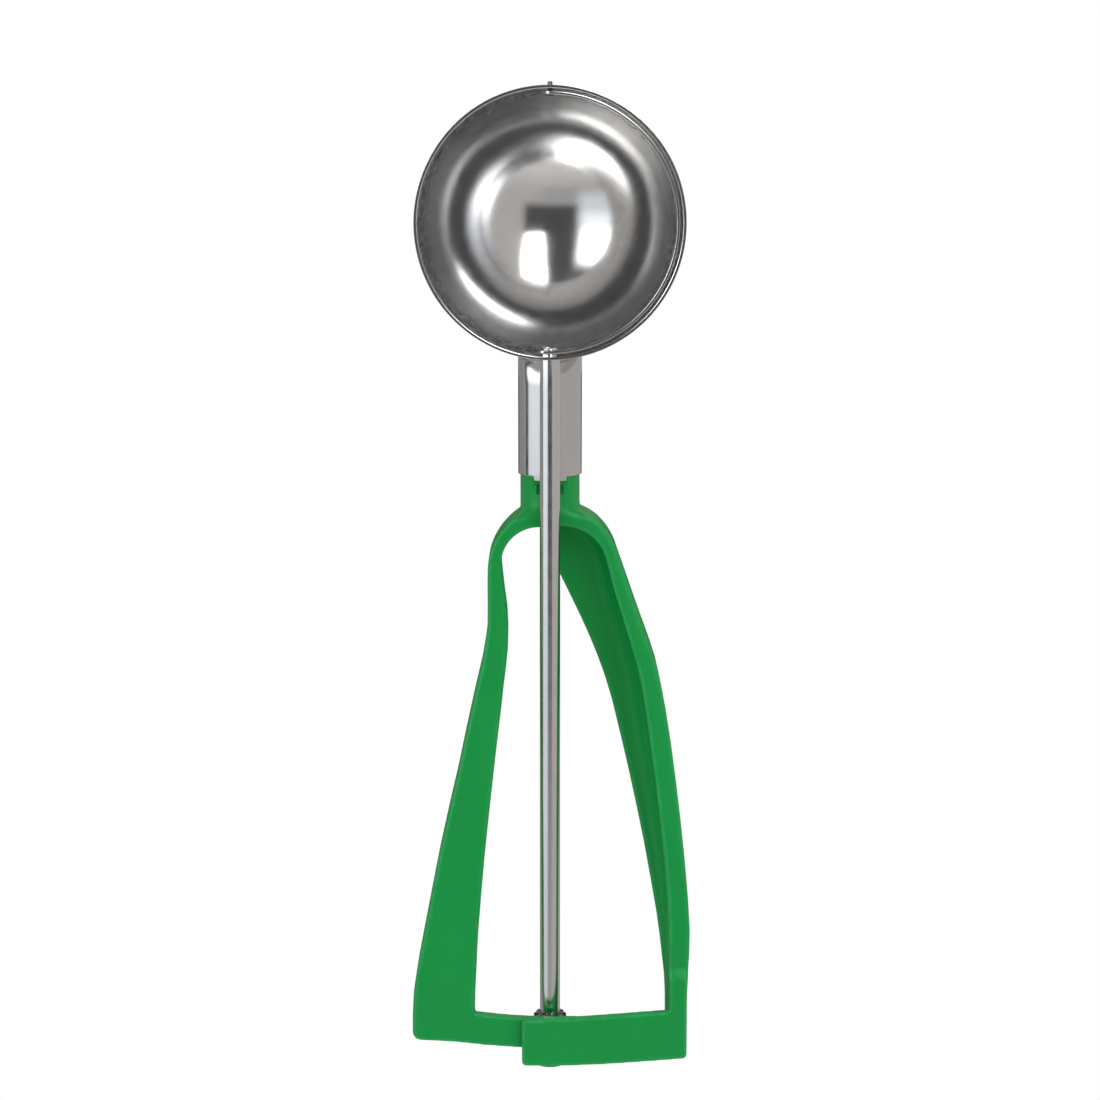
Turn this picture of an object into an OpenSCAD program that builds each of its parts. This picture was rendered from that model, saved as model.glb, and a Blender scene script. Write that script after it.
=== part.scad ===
// Lever ice cream scoop (portion disher).
// Millimetres. X to the right, Y away from the open mouth of the bowl, Z up along the shaft to the bowl.
// The shaft axis is the Z axis, and z = 0 is the height of the lever's flexing shoulder.

/* [Bowl] */
// Outside diameter of the bowl
bowl_od = 65; // [58:0.5:68]
// Thickness of the spun steel
bowl_wall = 0.8; // [0.6:0.1:1.2]
// Straight lip in front of the half sphere
bowl_lip = 3.6; // [3.5:0.1:5]
// Height of the bowl's centre above the lever's shoulder
bowl_z = 81.7; // [80:0.1:88]

/* [Scraper] */
// Thickness of the scraper hoop
blade_t = 0.75; // [0.6:0.05:0.9]
// Width of the scraper hoop
blade_w = 6.6; // [5:0.2:6.8]
// Gap between the hoop and the bowl
blade_gap = 0.55; // [0.4:0.05:0.8]
// Diameter of the hoop's upper pivot pin
pivot_d = 1.9; // [1.6:0.1:2.4]

/* [Shaft] */
// Diameter of the turning shaft
shaft_d = 5; // [4.6:0.1:5.2]
// Diameter of the shaft's turned-down journal in the pinion and its bearing
journal_d = 3.4; // [3:0.1:3.6]
// Width across the square tenon that carries the hoop
tenon_w = 3; // [2.6:0.1:3.3]
// Radial clearance of every turning fit
run_fit = 0.06; // [0.03:0.01:0.1]

/* [Rack and pinion] */
// Module of the teeth
tooth_m = 0.68; // [0.64:0.01:0.7]
// Teeth on the pinion
pinion_teeth = 10; // [10:1:11]
// Teeth on the rack
rack_teeth = 8; // [8:1:9]
// Play between the flanks of rack and pinion teeth
backlash = 0.18; // [0.14:0.02:0.24]
// Height of the pinion
pinion_h = 6.7; // [5.6:0.1:7]
// Thickness of the rack bar behind its teeth
rack_t = 2.8; // [2.4:0.1:3.2]
// Gap between the rack bar and the housing wall
slide_gap = 0.3; // [0.3:0.05:0.5]

/* [Ferrule] */
// Outside diameter of the steel tube
ferrule_od = 15.7; // [15:0.1:16.5]
// Wall of the steel tube
ferrule_wall = 0.6; // [0.5:0.1:0.8]
// Height of the tube's lower end above the lever's shoulder
ferrule_z = 20; // [18:0.5:22]
// Gap between the shaft and the tube behind it
shaft_gap = 0.5; // [0.4:0.1:0.8]
// Size of the weld bead between tube and bowl
weld_r = 0.9; // [0.6:0.1:1.2]

/* [Handle] */
// Length of the plug inside the steel tube
plug_len = 24; // [18:1:28]
// Radius of the round neck below the tube
neck_r = 7.35; // [7.3:0.05:7.5]
// Gap from the tube's front to the moulding's front face
neck_set = 0.45; // [0.3:0.05:0.8]
// Thickness of the palm arm's back flange
flange_t = 3; // [2.5:0.1:3.5]
// Thickness of the lever's flexing shoulder and outer web
web_t = 3.2; // [2.8:0.1:3.4]
// Thickness of the housing's front wall
wall_t = 2.2; // [1.8:0.1:2.6]
// Thickness of the housing's floor
floor_t = 3; // [2.6:0.1:3.2]
// Radius of the bearing boss below the pinion
boss_r = 4.3; // [3.6:0.1:4.8]
// Depth of the boss below the floor
boss_drop = 2.6; // [2:0.1:3.2]

/* [Hidden] */
$fn = 72;
e = 0.01;
cut = 1;                                // how far a cutting tool runs past what it cuts

// Bowl and scraper
bowl_r = bowl_od / 2;
blade_r = bowl_r - bowl_wall - blade_gap;        // outer radius of the hoop
blade_in = blade_r - blade_t;
shaft_r = shaft_d / 2;
pin_out = 0.85;                                  // how far the pivot pin stands out of the bowl
pin_head_r = 1.7;
pin_head_h = 0.5;
rivet_r = 2.1;                                   // peened head on the shaft's tenon
rivet_h = 0.9;
rivet_dome = 2.9;                                // radius of its crown

// Ferrule and neck
ferrule_r = ferrule_od / 2;
ferrule_y = shaft_r + shaft_gap + ferrule_r;     // axis of the tube
plug_r = ferrule_r - ferrule_wall - 0.05;
front_y = shaft_r + shaft_gap + neck_set;        // front face of the yoke
back_y = 2 * ferrule_y - front_y;                // back face of the yoke

// Rack, pinion and housing, from the shaft outwards
pitch_r = tooth_m * pinion_teeth / 2;
tip_r = pitch_r + tooth_m;
root_r = pitch_r - 1.2 * tooth_m;
rack_tip_y = -pitch_r + 0.88 * tooth_m;
rack_root_y = -pitch_r - 1.3 * tooth_m;
rack_front_y = rack_root_y - rack_t;
wall_back_y = rack_front_y - slide_gap;
wall_front_y = wall_back_y - wall_t;
lever_bottom_r = 122.7;                          // lever's lower end, an arc about the pivot
reach = lever_bottom_r / 122.7;                  // stretch of the tables below the pivot
mesh_z = 3.7 - lever_bottom_r;                   // height at which rack and pinion share their pitch

// Lever pivot: the middle of the flexing shoulder
pivot_x = -13.5;
knuckle_r = web_t / 2;
seat_gap = 0.1;
tooth_angle = 360 / pinion_teeth * pitch_r / -mesh_z;   // lever angle for one tooth

// Yoke arcs, each as [centre x, centre z, radius]. The left ones end on the flexing shoulder
arch_out_r = [0, -4.77, 17.44];
arch_in_r = [2.68, -3.61, 11.45];
arch_out_l = [-0.2, -2.36, norm([abs(pivot_x) + knuckle_r - 0.2, 2.36])];
arch_in_l = [-2.72, -1.91, norm([abs(pivot_x) - knuckle_r - 2.72, 1.91])];
neck_fillet = 1.5;
arch_end_z = 7.9;                                // where the arch hands over to the palm arm

// Housing, front view: a plate that rises to the right
housing_left = -7;
housing_right = 34.05;
housing_h = 12;
housing_top_z = 8.25 - lever_bottom_r;           // upper left corner
housing_back_y = 4.8;
housing_corner = 1;
// Rise of the upper and lower edges above their left ends, rows of [x, rise]
housing_rim = [[housing_left, 0], [0, 0.2], [7.3, 0.5], [16, 1.15], [27, 2.05], [housing_right, 2.65]];
housing_keel = [[housing_left, 0], [0, 0], [6, 0.1], [12.5, 0.35], [20, 0.85], [27.4, 1.4], [housing_right, 1.95]];
pinion_lift = 0.95;                              // the pinion's face above the housing's floor
pinion_bottom = housing_top_z - housing_h + floor_t + pinion_lift;
pinion_top = pinion_bottom + pinion_h;
seat_z = pinion_bottom - 0.1;                    // face that carries the pinion
tab_w = 8.2;                                     // small steel tab below the tube's front edge
tab_h = 1.05;
tab_recess = 0.3;

// Palm arm, each row [z, value]
palm_outer = [[8, 11.8], [7.2, 12.65], [6, 13.7], [5, 14.42], [4, 15.06], [3, 15.63], [2, 16.12], [0, 16.95],
              [-3, 18.02], [-7, 19.43], [-12, 21.16], [-17, 22.96], [-22, 24.8], [-27, 26.42], [-32, 27.57],
              [-38, 28.7], [-46, 29.95], [-54, 31.03], [-64, 32.25], [-74, 33.32], [-84, 34.2], [-94, 34.72],
              [-102, 34.33], [-108, 34.08], [-113, 34.05], [-124, 34]];
palm_inner = [[8, 2.5], [7.4, 5.8], [6.76, 7.55], [5.4, 9.75], [3.4, 11.75], [1.16, 13.1], [-1.1, 13.85],
              [-3, 14.4], [-7, 15.4], [-12, 16.95], [-17, 18.5], [-22, 20.1], [-27, 21.55], [-32, 22.65],
              [-38, 23.65], [-46, 24.8], [-54, 25.95], [-64, 27.15], [-74, 28.3], [-84, 29.15], [-94, 29.5],
              [-102, 29.45], [-108, 29.6], [-124, 29.65]];
flange_edge = [[8, -3.5], [5, -2.3], [0, -0.3], [-3, 1], [-7, 2.9], [-12, 5.35], [-17, 7.75], [-22, 10],
               [-27, 12.05], [-32, 13.85], [-38, 15.65], [-46, 17.6], [-54, 19.5], [-64, 21.7], [-74, 23.78],
               [-84, 25.6], [-94, 27.33], [-102, 28.3], [-108, 29], [-113, 29.35], [-124, 29.4]];
palm_front = [[8, front_y + 0.05], [0, front_y - 0.2], [-30, -0.6], [-60, -4.6], [-101, wall_front_y - 0.8],
              [-108, wall_front_y - 0.4], [-113, wall_front_y + 0.02], [-124, wall_front_y + 0.02]];
palm_back = [[8, back_y - 0.05], [0, back_y - 0.2], [-30, 15.6], [-60, 12.6], [-90, 9.6], [-124, 6.5]];
palm_z = [8, 7.4, 6.7, 5.9, 4.9, 3.9, 2.8, 1.7, 0, -3, -7, -12, -17, -22, -27, -32, -38, -46, -54, -64, -74,
          -84, -92, -98, -103, -108, -113, -118, -123.5];

// Thumb lever
lever_outer = [[0, pivot_x - knuckle_r], [-3, -15.38], [-7, -15.45], [-12, -15.4], [-17, -15.45], [-22, -16.13],
               [-27, -17], [-32, -18.2], [-38, -19.57], [-46, -21.33], [-54, -23], [-64, -25.33], [-74, -27.57],
               [-84, -29.56], [-94, -31.5], [-102, -33.05], [-108, -33.98], [-113, -34.3], [-124, -34.4]];
lever_inner = [[0, pivot_x + knuckle_r], [-3, -11.65], [-7, -11.19], [-12, -10.5], [-17, -10.25], [-22, -10.35],
               [-27, -10.83], [-32, -11.47], [-38, -12.13], [-46, -13.12], [-54, -14.03], [-64, -15.15],
               [-74, -16.22], [-84, -17.11], [-94, -17.91], [-102, -18.3], [-108, -18.62], [-124, -18.85]];
lever_front = [[0, front_y], [-10, front_y - 0.6], [-30, 0.6], [-60, -2.6], [-100, rack_front_y + 0.3],
               [-108, rack_front_y], [-122, rack_front_y]];
lever_back = [[0, back_y], [-10, back_y - 0.4], [-40, 14.4], [-80, 10.4], [-122, 6.2]];
lever_z = [0, -3, -7, -12, -17, -22, -27, -32, -38, -46, -54, -64, -74, -84, -94, -102, -108, -114, -119, -124];
tooth_inset = 1.2;                               // the teeth stop short of the lever's lower edge
tooth_h = 6.2;                                   // and end this far above it, below the bar's upper edge
bar_right = 7.2;
// Upper and lower edges of the foot and rack bar, rows of [x, height above the lever's lower end]
bar_top = [[-21, 9], [-17.5, 8.55], [-12.5, 7.95], [-8.8, 7.65], [-5, 7.45], [bar_right, 7.35]];
foot_edge = [[-34.4, 2.2], [-24.25, 1.65], [-16.5, 0.86], [-9.75, 0.33], [-7, 0.2], [bar_right + cut, 0]];
foot_corner = 2.2;

// Value of a table at height z, smooth through its rows, which run downwards
function curve(z, t, i = 0) =
    i >= len(t) - 2 || z >= t[i + 1][0] ? span(z, t, i) : curve(z, t, i + 1);
function slope(t, i) =
    let (a = max(i - 1, 0), b = min(i + 1, len(t) - 1)) (t[b][1] - t[a][1]) / (t[b][0] - t[a][0]);
function span(z, t, i) =
    let (d = t[i + 1][0] - t[i][0], u = (z - t[i][0]) / d,
         m0 = slope(t, i) * d, m1 = slope(t, i + 1) * d)
    (2 * u ^ 3 - 3 * u ^ 2 + 1) * t[i][1] + (u ^ 3 - 2 * u ^ 2 + u) * m0
    + (3 * u ^ 2 - 2 * u ^ 3) * t[i + 1][1] + (u ^ 3 - u ^ 2) * m1;

// Points of an arc in a section, from angle a to angle b
function arc(cx, cy, r, a, b, n = 4) =
    [for (k = [0 : n]) let (t = a + (b - a) * k / n) [cx + r * cos(t), cy + r * sin(t)]];

// J section of the palm arm: an outer web, a back flange and a cove between them
function palm_section(z) =
    let (xo = curve(z, palm_outer), xi = curve(z, palm_inner), xf = min(curve(z, flange_edge), xi - 0.4),
         yf = curve(z, palm_front), yb = curve(z, palm_back), yn = yb - flange_t,
         cove = min(5, 0.7 * (xi - xf)), r = min(0.7, 0.3 * (xo - xi)), rb = 2 * r, rf = min(0.8, (xi - xf) / 3))
    concat(arc(xi + r, yf + r, r, 180, 270), arc(xo - r, yf + r, r, -90, 0), arc(xo - rb, yb - rb, rb, 0, 90),
           arc(xf + rf, yb - rf, rf, 90, 180), arc(xf + rf, yn + rf, rf, 180, 270),
           arc(xi - cove, yn - cove, cove, 90, 0));

// L section of the lever: an outer web and a front plate with a cove between them
function lever_section(z) =
    let (xo = curve(z, lever_outer), xi = curve(z, lever_inner), yf = curve(z, lever_front),
         yb = curve(z, lever_back), xw = min(xo + web_t, xi - 0.02), yp = yf + rack_t + 0.4,
         cove = min(2.5, 0.45 * (xi - xw)), r = min(1, 0.3 * (xw - xo)), rp = min(r, 0.45 * (xi - xw)))
    concat(arc(xo + r, yf + r, r, 180, 270), arc(xi - r, yf + r, r, -90, 0), arc(xi - rp, yp - rp, rp, 0, 90),
           arc(xw + cove, yp + cove, cove, 270, 180), arc(xw - r, yb - r, r, 0, 90), arc(xo + r, yb - r, r, 90, 180));

// Solid skin through equal rings of points
module loft(rings) {
    n = len(rings[0]);
    m = len(rings);
    sides = [for (j = [0 : m - 2]) for (i = [0 : n - 1])
        let (a = j * n + i, b = j * n + (i + 1) % n) each [[a, b, a + n], [b, b + n, a + n]]];
    polyhedron([for (ring = rings) each ring],
               concat(sides, [[for (i = [n - 1 : -1 : 0]) i]], [[for (i = [0 : n - 1]) (m - 1) * n + i]]));
}

// Rings of a section at each height of a list, stretched below the pivot
function rings(zs, kind) =
    [for (z = zs) let (height = z < 0 ? z * reach : z)
        [for (p = kind == "palm" ? palm_section(z) : lever_section(z)) [p[0], p[1], height]]];

// Front view outline (x, z) given depth from y0 to y1
module front_view(y0, y1) {
    translate([0, y1, 0]) rotate([90, 0, 0]) linear_extrude(y1 - y0) children();
}

module upright(r, z0, z1) {
    translate([0, 0, z0]) cylinder(r = r, h = z1 - z0);
}

// Turned about the bowl's own axis, with the mouth towards -Y
module about_bowl() {
    translate([0, 0, bowl_z]) rotate([-90, 0, 0]) children();
}

module bowl() color([0.78, 0.78, 0.77]) {
    difference() {
        about_bowl() rotate_extrude() difference() {
            bowl_profile(bowl_r, bowl_lip);
            bowl_profile(bowl_r - bowl_wall, bowl_lip + cut);
        }
        upright(shaft_r + run_fit, bowl_z - bowl_r - cut, bowl_z - bowl_r + 3);
        upright(pivot_d / 2 + run_fit, bowl_z + bowl_r - 3, bowl_z + bowl_r + cut);
    }
}

module bowl_profile(r, lip) {
    intersection() {
        circle(r);
        square(r + cut);
    }
    translate([0, -lip]) square([r, lip]);
}

module ferrule_rod(r, z0, z1) {
    translate([0, ferrule_y, 0]) upright(r, z0, z1);
}

module ferrule() color([0.74, 0.74, 0.73]) {
    difference() {
        union() {
            ferrule_rod(ferrule_r, ferrule_z, bowl_z);
            intersection() {
                ferrule_rod(ferrule_r, ferrule_z - tab_h, ferrule_z + e);
                translate([-tab_w / 2, 0, 0]) cube([tab_w, ferrule_y, bowl_z]);
            }
        }
        ferrule_rod(ferrule_r - ferrule_wall, ferrule_z - tab_h - cut, bowl_z + cut);
        translate([0, 0, bowl_z]) sphere(bowl_r);
    }
}

// Bead of weld round the coped end of the tube
module weld_bead() color([0.7, 0.7, 0.69]) {
    difference() {
        intersection() {
            ferrule_rod(ferrule_r + weld_r, ferrule_z, bowl_z);
            translate([0, 0, bowl_z]) sphere(bowl_r + weld_r);
        }
        ferrule_rod(ferrule_r, ferrule_z - cut, bowl_z + cut);
        translate([0, 0, bowl_z]) sphere(bowl_r);
        upright(shaft_r + 0.35, ferrule_z, bowl_z);
    }
}

module disc_at(arch) {
    translate([arch[0], arch[1]]) circle(arch[2]);
}

// Front view of the yoke: right shoulder down to the palm arm, left shoulder down to the flexure
module yoke_outline() {
    difference() {
        union() {
            intersection() {
                disc_at(arch_out_r);
                translate([0, arch_end_z]) square([arch_out_r[2], arch_out_r[2]]);
            }
            intersection() {
                disc_at(arch_out_l);
                translate([-arch_out_l[2] - cut, 0]) square([arch_out_l[2] + 5 * cut, arch_out_l[2]]);
            }
        }
        intersection() {
            hull() {
                disc_at(arch_in_r);
                disc_at(arch_in_l);
            }
            translate([-arch_out_l[2], -cut]) square([arch_out_l[2] + arch_out_r[2], arch_out_r[2]]);
        }
        translate([pivot_x, 0]) circle(knuckle_r + seat_gap);
    }
}

// Round neck with a concave fillet onto the shoulders, and the plug that fills the tube
module neck() {
    sunk = 0.03;
    fillet_x = neck_r + neck_fillet - sunk;
    fillet_reach = arch_out_r[2] + neck_fillet - sunk;
    fillet_z = arch_out_r[1] + sqrt(fillet_reach ^ 2 - fillet_x ^ 2);
    touch = arch_out_r[2] / fillet_reach;
    difference() {
        ferrule_rod(neck_r, arch_end_z + 1.6, ferrule_z);
        intersection() {
            difference() {
                ferrule_rod(neck_r + cut, ferrule_z - 4.5, ferrule_z + cut);
                ferrule_rod(neck_r - tab_recess, ferrule_z - 5.5, ferrule_z + 2 * cut);
            }
            translate([-tab_w / 2 - 0.1, 0, 0]) cube([tab_w + 0.2, ferrule_y, bowl_z]);
        }
    }
    intersection() {
        translate([0, ferrule_y, 0]) rotate_extrude() polygon(concat(
            [[neck_r - cut, arch_end_z + 2], [neck_r - cut, fillet_z]],
            arc(fillet_x, fillet_z, neck_fillet, 180, 360 - acos(-fillet_x / fillet_reach), 6),
            [[fillet_x * touch, arch_end_z + 2]]));
        translate([-ferrule_od, front_y + 0.02, 0]) cube([2 * ferrule_od, back_y - front_y - 0.04, ferrule_z]);
    }
    ferrule_rod(plug_r, ferrule_z - e, ferrule_z + plug_len - 1);
    translate([0, ferrule_y, ferrule_z + plug_len - 1 - e]) cylinder(r1 = plug_r, r2 = plug_r - 1, h = 1);
}

// Front view of the housing's lowest part: its full height for the wall, floor_t for the floor
module housing_plate(is_wall) {
    foot = [for (p = housing_keel) [p[0], housing_top_z - housing_h + p[1]]];
    top = is_wall ? [for (p = housing_rim) [p[0], housing_top_z + p[1]]]
                  : [for (p = housing_keel) [p[0], housing_top_z - housing_h + floor_t + p[1]]];
    offset(r = housing_corner) offset(delta = -housing_corner)
        polygon(concat(foot, [for (i = [len(top) - 1 : -1 : 0]) top[i]]));
}

module gear_housing() {
    front_view(wall_front_y, wall_back_y) housing_plate(true);
    front_view(wall_back_y - e, housing_back_y) housing_plate(false);
    upright(boss_r, boss_bottom() + 0.5, seat_z);
    translate([0, 0, boss_bottom()]) cylinder(r1 = boss_r - 0.5, r2 = boss_r, h = 0.5 + e);
}

function boss_bottom() = housing_top_z - housing_h - boss_drop;

module handle_frame() color([0.1, 0.56, 0.26]) {
    difference() {
        union() {
            front_view(front_y, back_y) yoke_outline();
            neck();
            loft(rings(palm_z, "palm"));
            gear_housing();
        }
        upright(journal_d / 2 + run_fit, boss_bottom() - cut, seat_z + cut);
    }
}

// Front view of the foot and rack bar: the bar swings on an arc about the lever's pivot
module bar_outline(bottom_r) {
    intersection() {
        translate([pivot_x, 0]) circle(r = bottom_r, $fn = 360);
        polygon(concat([for (p = bar_top) [p[0], p[1] - lever_bottom_r]],
            [[bar_right, -lever_bottom_r - cut], [bar_top[0][0], -lever_bottom_r - cut]]));
        foot_outline();
    }
}

// Everything above the foot's lower edge, with the outer corner rounded
module foot_outline() {
    left = foot_edge[0][0];
    offset(r = foot_corner) offset(delta = -foot_corner) polygon(concat(
        [[left - 0.1, -lever_bottom_r / 2]], [for (p = foot_edge) [p[0], p[1] - lever_bottom_r]],
        [[bar_right + 5 * foot_corner, -lever_bottom_r], [bar_right + 5 * foot_corner, -lever_bottom_r / 2]]));
}

// One rack tooth, upright where it meets the pinion
module rack_tooth() {
    half_pitch = PI * tooth_m / 4 - backlash / 2;
    rise = rack_tip_y + pitch_r;
    fall = -pitch_r - rack_root_y;
    lean = tan(20);
    translate([0, 0, -lever_bottom_r - 2]) linear_extrude(tooth_h + 2) polygon([
        [-half_pitch - fall * lean, rack_root_y - 0.3], [half_pitch + fall * lean, rack_root_y - 0.3],
        [half_pitch + fall * lean, rack_root_y], [half_pitch - rise * lean, rack_tip_y],
        [-half_pitch + rise * lean, rack_tip_y], [-half_pitch - fall * lean, rack_root_y]]);
}

module about_pivot(angle) {
    translate([pivot_x, 0, 0]) rotate([0, angle, 0]) translate([-pivot_x, 0, 0]) children();
}

module thumb_lever() color([0.1, 0.56, 0.26]) {
    // flexing shoulder
    translate([pivot_x, back_y, 0]) rotate([90, 0, 0]) cylinder(r = knuckle_r, h = back_y - front_y);
    // lever, with its lower end on the arc
    intersection() {
        loft(rings(lever_z, "lever"));
        front_view(wall_front_y, back_y + cut) union() {
            foot_outline();
            translate([-3 * bowl_r, -lever_bottom_r * 0.6]) square([6 * bowl_r, lever_bottom_r]);
        }
    }
    front_view(rack_front_y, rack_root_y) bar_outline(lever_bottom_r);
    intersection() {
        for (i = [2 - rack_teeth : 1]) about_pivot(-i * tooth_angle) rack_tooth();
        front_view(rack_root_y - 0.5, rack_tip_y + cut) bar_outline(lever_bottom_r - tooth_inset);
    }
}

module shaft() color([0.8, 0.8, 0.8]) {
    shoulder = bowl_z - blade_r;
    upright(shaft_r, pinion_top, shoulder);
    upright(journal_d / 2, boss_bottom() + 0.4, pinion_top + e);
    translate([-tenon_w / 2, -tenon_w / 2, shoulder - e]) cube([tenon_w, tenon_w, blade_t + 0.15]);
    intersection() {
        upright(rivet_r, shoulder + blade_t + 0.1, shoulder + blade_t + 0.1 + rivet_h);
        translate([0, 0, shoulder + blade_t + 0.1 + rivet_h - rivet_dome]) sphere(rivet_dome);
    }
}

// Pinion outline: straight-sided teeth that narrow to rounded tips, with a gap facing the rack
module pinion_outline() {
    half_root = PI * tooth_m * 0.26;
    half_tip = PI * tooth_m * 0.1;
    circle(root_r);
    intersection() {
        circle(tip_r);
        for (i = [0 : pinion_teeth - 1]) rotate(-90 + (i + 0.5) * 360 / pinion_teeth)
            polygon([[0, -half_root], [root_r, -half_root], [pitch_r, -PI * tooth_m / 4 + backlash / 2],
                     [tip_r + 0.2, -half_tip], [tip_r + 0.2, half_tip],
                     [pitch_r, PI * tooth_m / 4 - backlash / 2], [root_r, half_root], [0, half_root]]);
    }
}

module pinion() color([0.08, 0.08, 0.08]) {
    bevel = 0.35;
    difference() {
        intersection() {
            translate([0, 0, pinion_bottom]) linear_extrude(pinion_h) pinion_outline();
            rotate_extrude() polygon([[0, pinion_bottom], [tip_r + cut, pinion_bottom],
                [tip_r + cut, pinion_top - bevel], [tip_r, pinion_top - bevel], [tip_r - bevel, pinion_top],
                [0, pinion_top]]);
        }
        upright(journal_d / 2 + 0.02, pinion_bottom - cut, pinion_top + cut);
    }
}

// Hoop blade: a strip of thin sphere from pivot to pivot, round at both ends, resting on the +X side
module scraper_blade() color([0.76, 0.76, 0.76]) {
    half = blade_w / 2;
    difference() {
        translate([0, 0, bowl_z]) intersection() {
            difference() {
                sphere(blade_r);
                sphere(blade_in);
            }
            union() {
                translate([0, -half, -blade_r - cut]) cube([blade_r + cut, blade_w, 2 * (blade_r + cut)]);
                upright(half, -blade_r - cut, blade_r + cut);
            }
        }
        translate([-tenon_w / 2 - 0.02, -tenon_w / 2 - 0.02, bowl_z - blade_r - cut])
            cube([tenon_w + 0.04, tenon_w + 0.04, 2 * cut + blade_t]);
        upright(pivot_d / 2 + 0.02, bowl_z + blade_in - cut, bowl_z + blade_r + cut);
    }
}

// Upper pivot: a small rivet through the hoop that turns in the rim of the bowl
module pivot_pin() color([0.7, 0.7, 0.7]) {
    head_top = bowl_z + sqrt(blade_in ^ 2 - pin_head_r ^ 2) - 0.03;
    upright(pivot_d / 2, head_top - e, bowl_z + bowl_r + pin_out);
    upright(pin_head_r, head_top - pin_head_h, head_top);
}

bowl();
ferrule();
weld_bead();
handle_frame();
thumb_lever();
shaft();
pinion();
scraper_blade();
pivot_pin();
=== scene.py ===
"""Looks of a lever ice cream scoop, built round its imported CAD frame.

Metres, Z up along the shaft, the mouth of the bowl towards -Y. Lengths in the code are millimetres times MM.
"""
import math

import bmesh
import bpy
import numpy as np
from mathutils import Matrix, Vector


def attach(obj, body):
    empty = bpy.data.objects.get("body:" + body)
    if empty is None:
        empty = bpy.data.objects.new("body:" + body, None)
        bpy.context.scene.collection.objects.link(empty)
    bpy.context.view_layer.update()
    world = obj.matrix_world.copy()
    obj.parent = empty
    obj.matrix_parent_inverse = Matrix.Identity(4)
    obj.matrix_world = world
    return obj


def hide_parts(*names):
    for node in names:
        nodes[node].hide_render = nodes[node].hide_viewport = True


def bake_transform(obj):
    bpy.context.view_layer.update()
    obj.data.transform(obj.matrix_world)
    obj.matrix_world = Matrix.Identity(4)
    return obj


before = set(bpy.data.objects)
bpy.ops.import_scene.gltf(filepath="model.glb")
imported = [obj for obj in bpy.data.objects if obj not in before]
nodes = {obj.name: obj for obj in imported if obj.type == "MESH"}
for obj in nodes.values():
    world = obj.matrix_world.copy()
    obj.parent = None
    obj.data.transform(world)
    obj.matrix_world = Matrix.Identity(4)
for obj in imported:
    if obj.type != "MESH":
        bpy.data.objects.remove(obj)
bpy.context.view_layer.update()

MM = 0.001
TAU = 2 * math.pi

# ---------------------------------------------------------------- sizes of the frame, mm
BOWL_Z = 81.7
BOWL_R = 32.5
BOWL_WALL = 0.8
BOWL_LIP = 3.6
PIN_HOLE_R = 0.68
BLADE_R = 31.15
BLADE_T = 0.7
BLADE_HALF = 3.3
SHAFT_R = 2.5
SHAFT_PLAY = 0.06
JOURNAL_R = 1.7
SHAFT_FOOT = -128.65
PINION_TOP = -115.8
TENON = 3.0
FERRULE_R = 7.85
FERRULE_WALL = 0.6
FERRULE_Y = 10.85
FERRULE_Z = 20.0
RACK_Y = -8.2
RACK_TOP = -115.5
TAB_HALF = 4.1
TAB_DROP = 1.05
LEVER_SIDE = -6.0                                   # the flexing shoulder lies to the left of this
FLEX_TOP, FLEX_END = 3.5, -6.0
NECK_R = 7.35
FRONT_Y, BACK_Y = 3.45, 18.25
SHOULDERS = {1: (0.0, -4.77, 17.44), -1: (-0.2, -2.36, 15.09)}      # side, then centre x, centre z and radius
FLARE_FOOT = 9.5                                    # lower end of the fillets between neck and shoulders
POCKETS = ((15.6, 3.3, 4.65), (17.8, 4.3, 4.95))    # lower end, half width and floor of the neck's recess
POCKET_TOP = 25.0
NECK_FILLET = 3.0
FOOT_TOP = -112.0                                   # the gear housing lies below this

# ---------------------------------------------------------------- skin of the mouldings
VOXEL = 0.3
PASSES, MELT_PASSES = 9, 90
EDGE_SPREAD, EDGE_GAIN = 4, 14                      # passes and gain of the mark for paler edges, partly rubbed wear and partly a painted highlight
SHOULDER_PUSH = ((-1, 5, 72, -0.48), (1, 16, 74, 0.47))             # side, from and to (degrees), outwards
ARM_HEIGHTS = (-112, -104.3, -101.1, -92, -84, -72)
ARM_BACK = (0, 0.6, 1.7, 1.1, 0.6, 0)               # how far the palm arm's front moves back at each height
BAR_RISE = 0.32


# ---------------------------------------------------------------- camera
CAMERA_AIM = Vector((0, 0, 0.0025))                 # metres
CAMERA_DISTANCE = 0.6                               # metres
CAMERA_PITCH = 9.6                                  # degrees down
SENSOR, LENS = 36, 80.35


def add_camera():
    pitch = math.radians(CAMERA_PITCH)
    forward = Vector((0, math.cos(pitch), -math.sin(pitch)))
    data = bpy.data.cameras.new("view")
    data.sensor_fit = "HORIZONTAL"
    data.sensor_width = SENSOR
    data.lens = LENS
    data.clip_start = 0.01
    camera = bpy.data.objects.new("view", data)
    camera.location = CAMERA_AIM - CAMERA_DISTANCE * forward
    camera.rotation_euler = forward.to_track_quat("-Z", "Y").to_euler()
    bpy.context.scene.collection.objects.link(camera)
    bpy.context.scene.camera = camera


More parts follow.
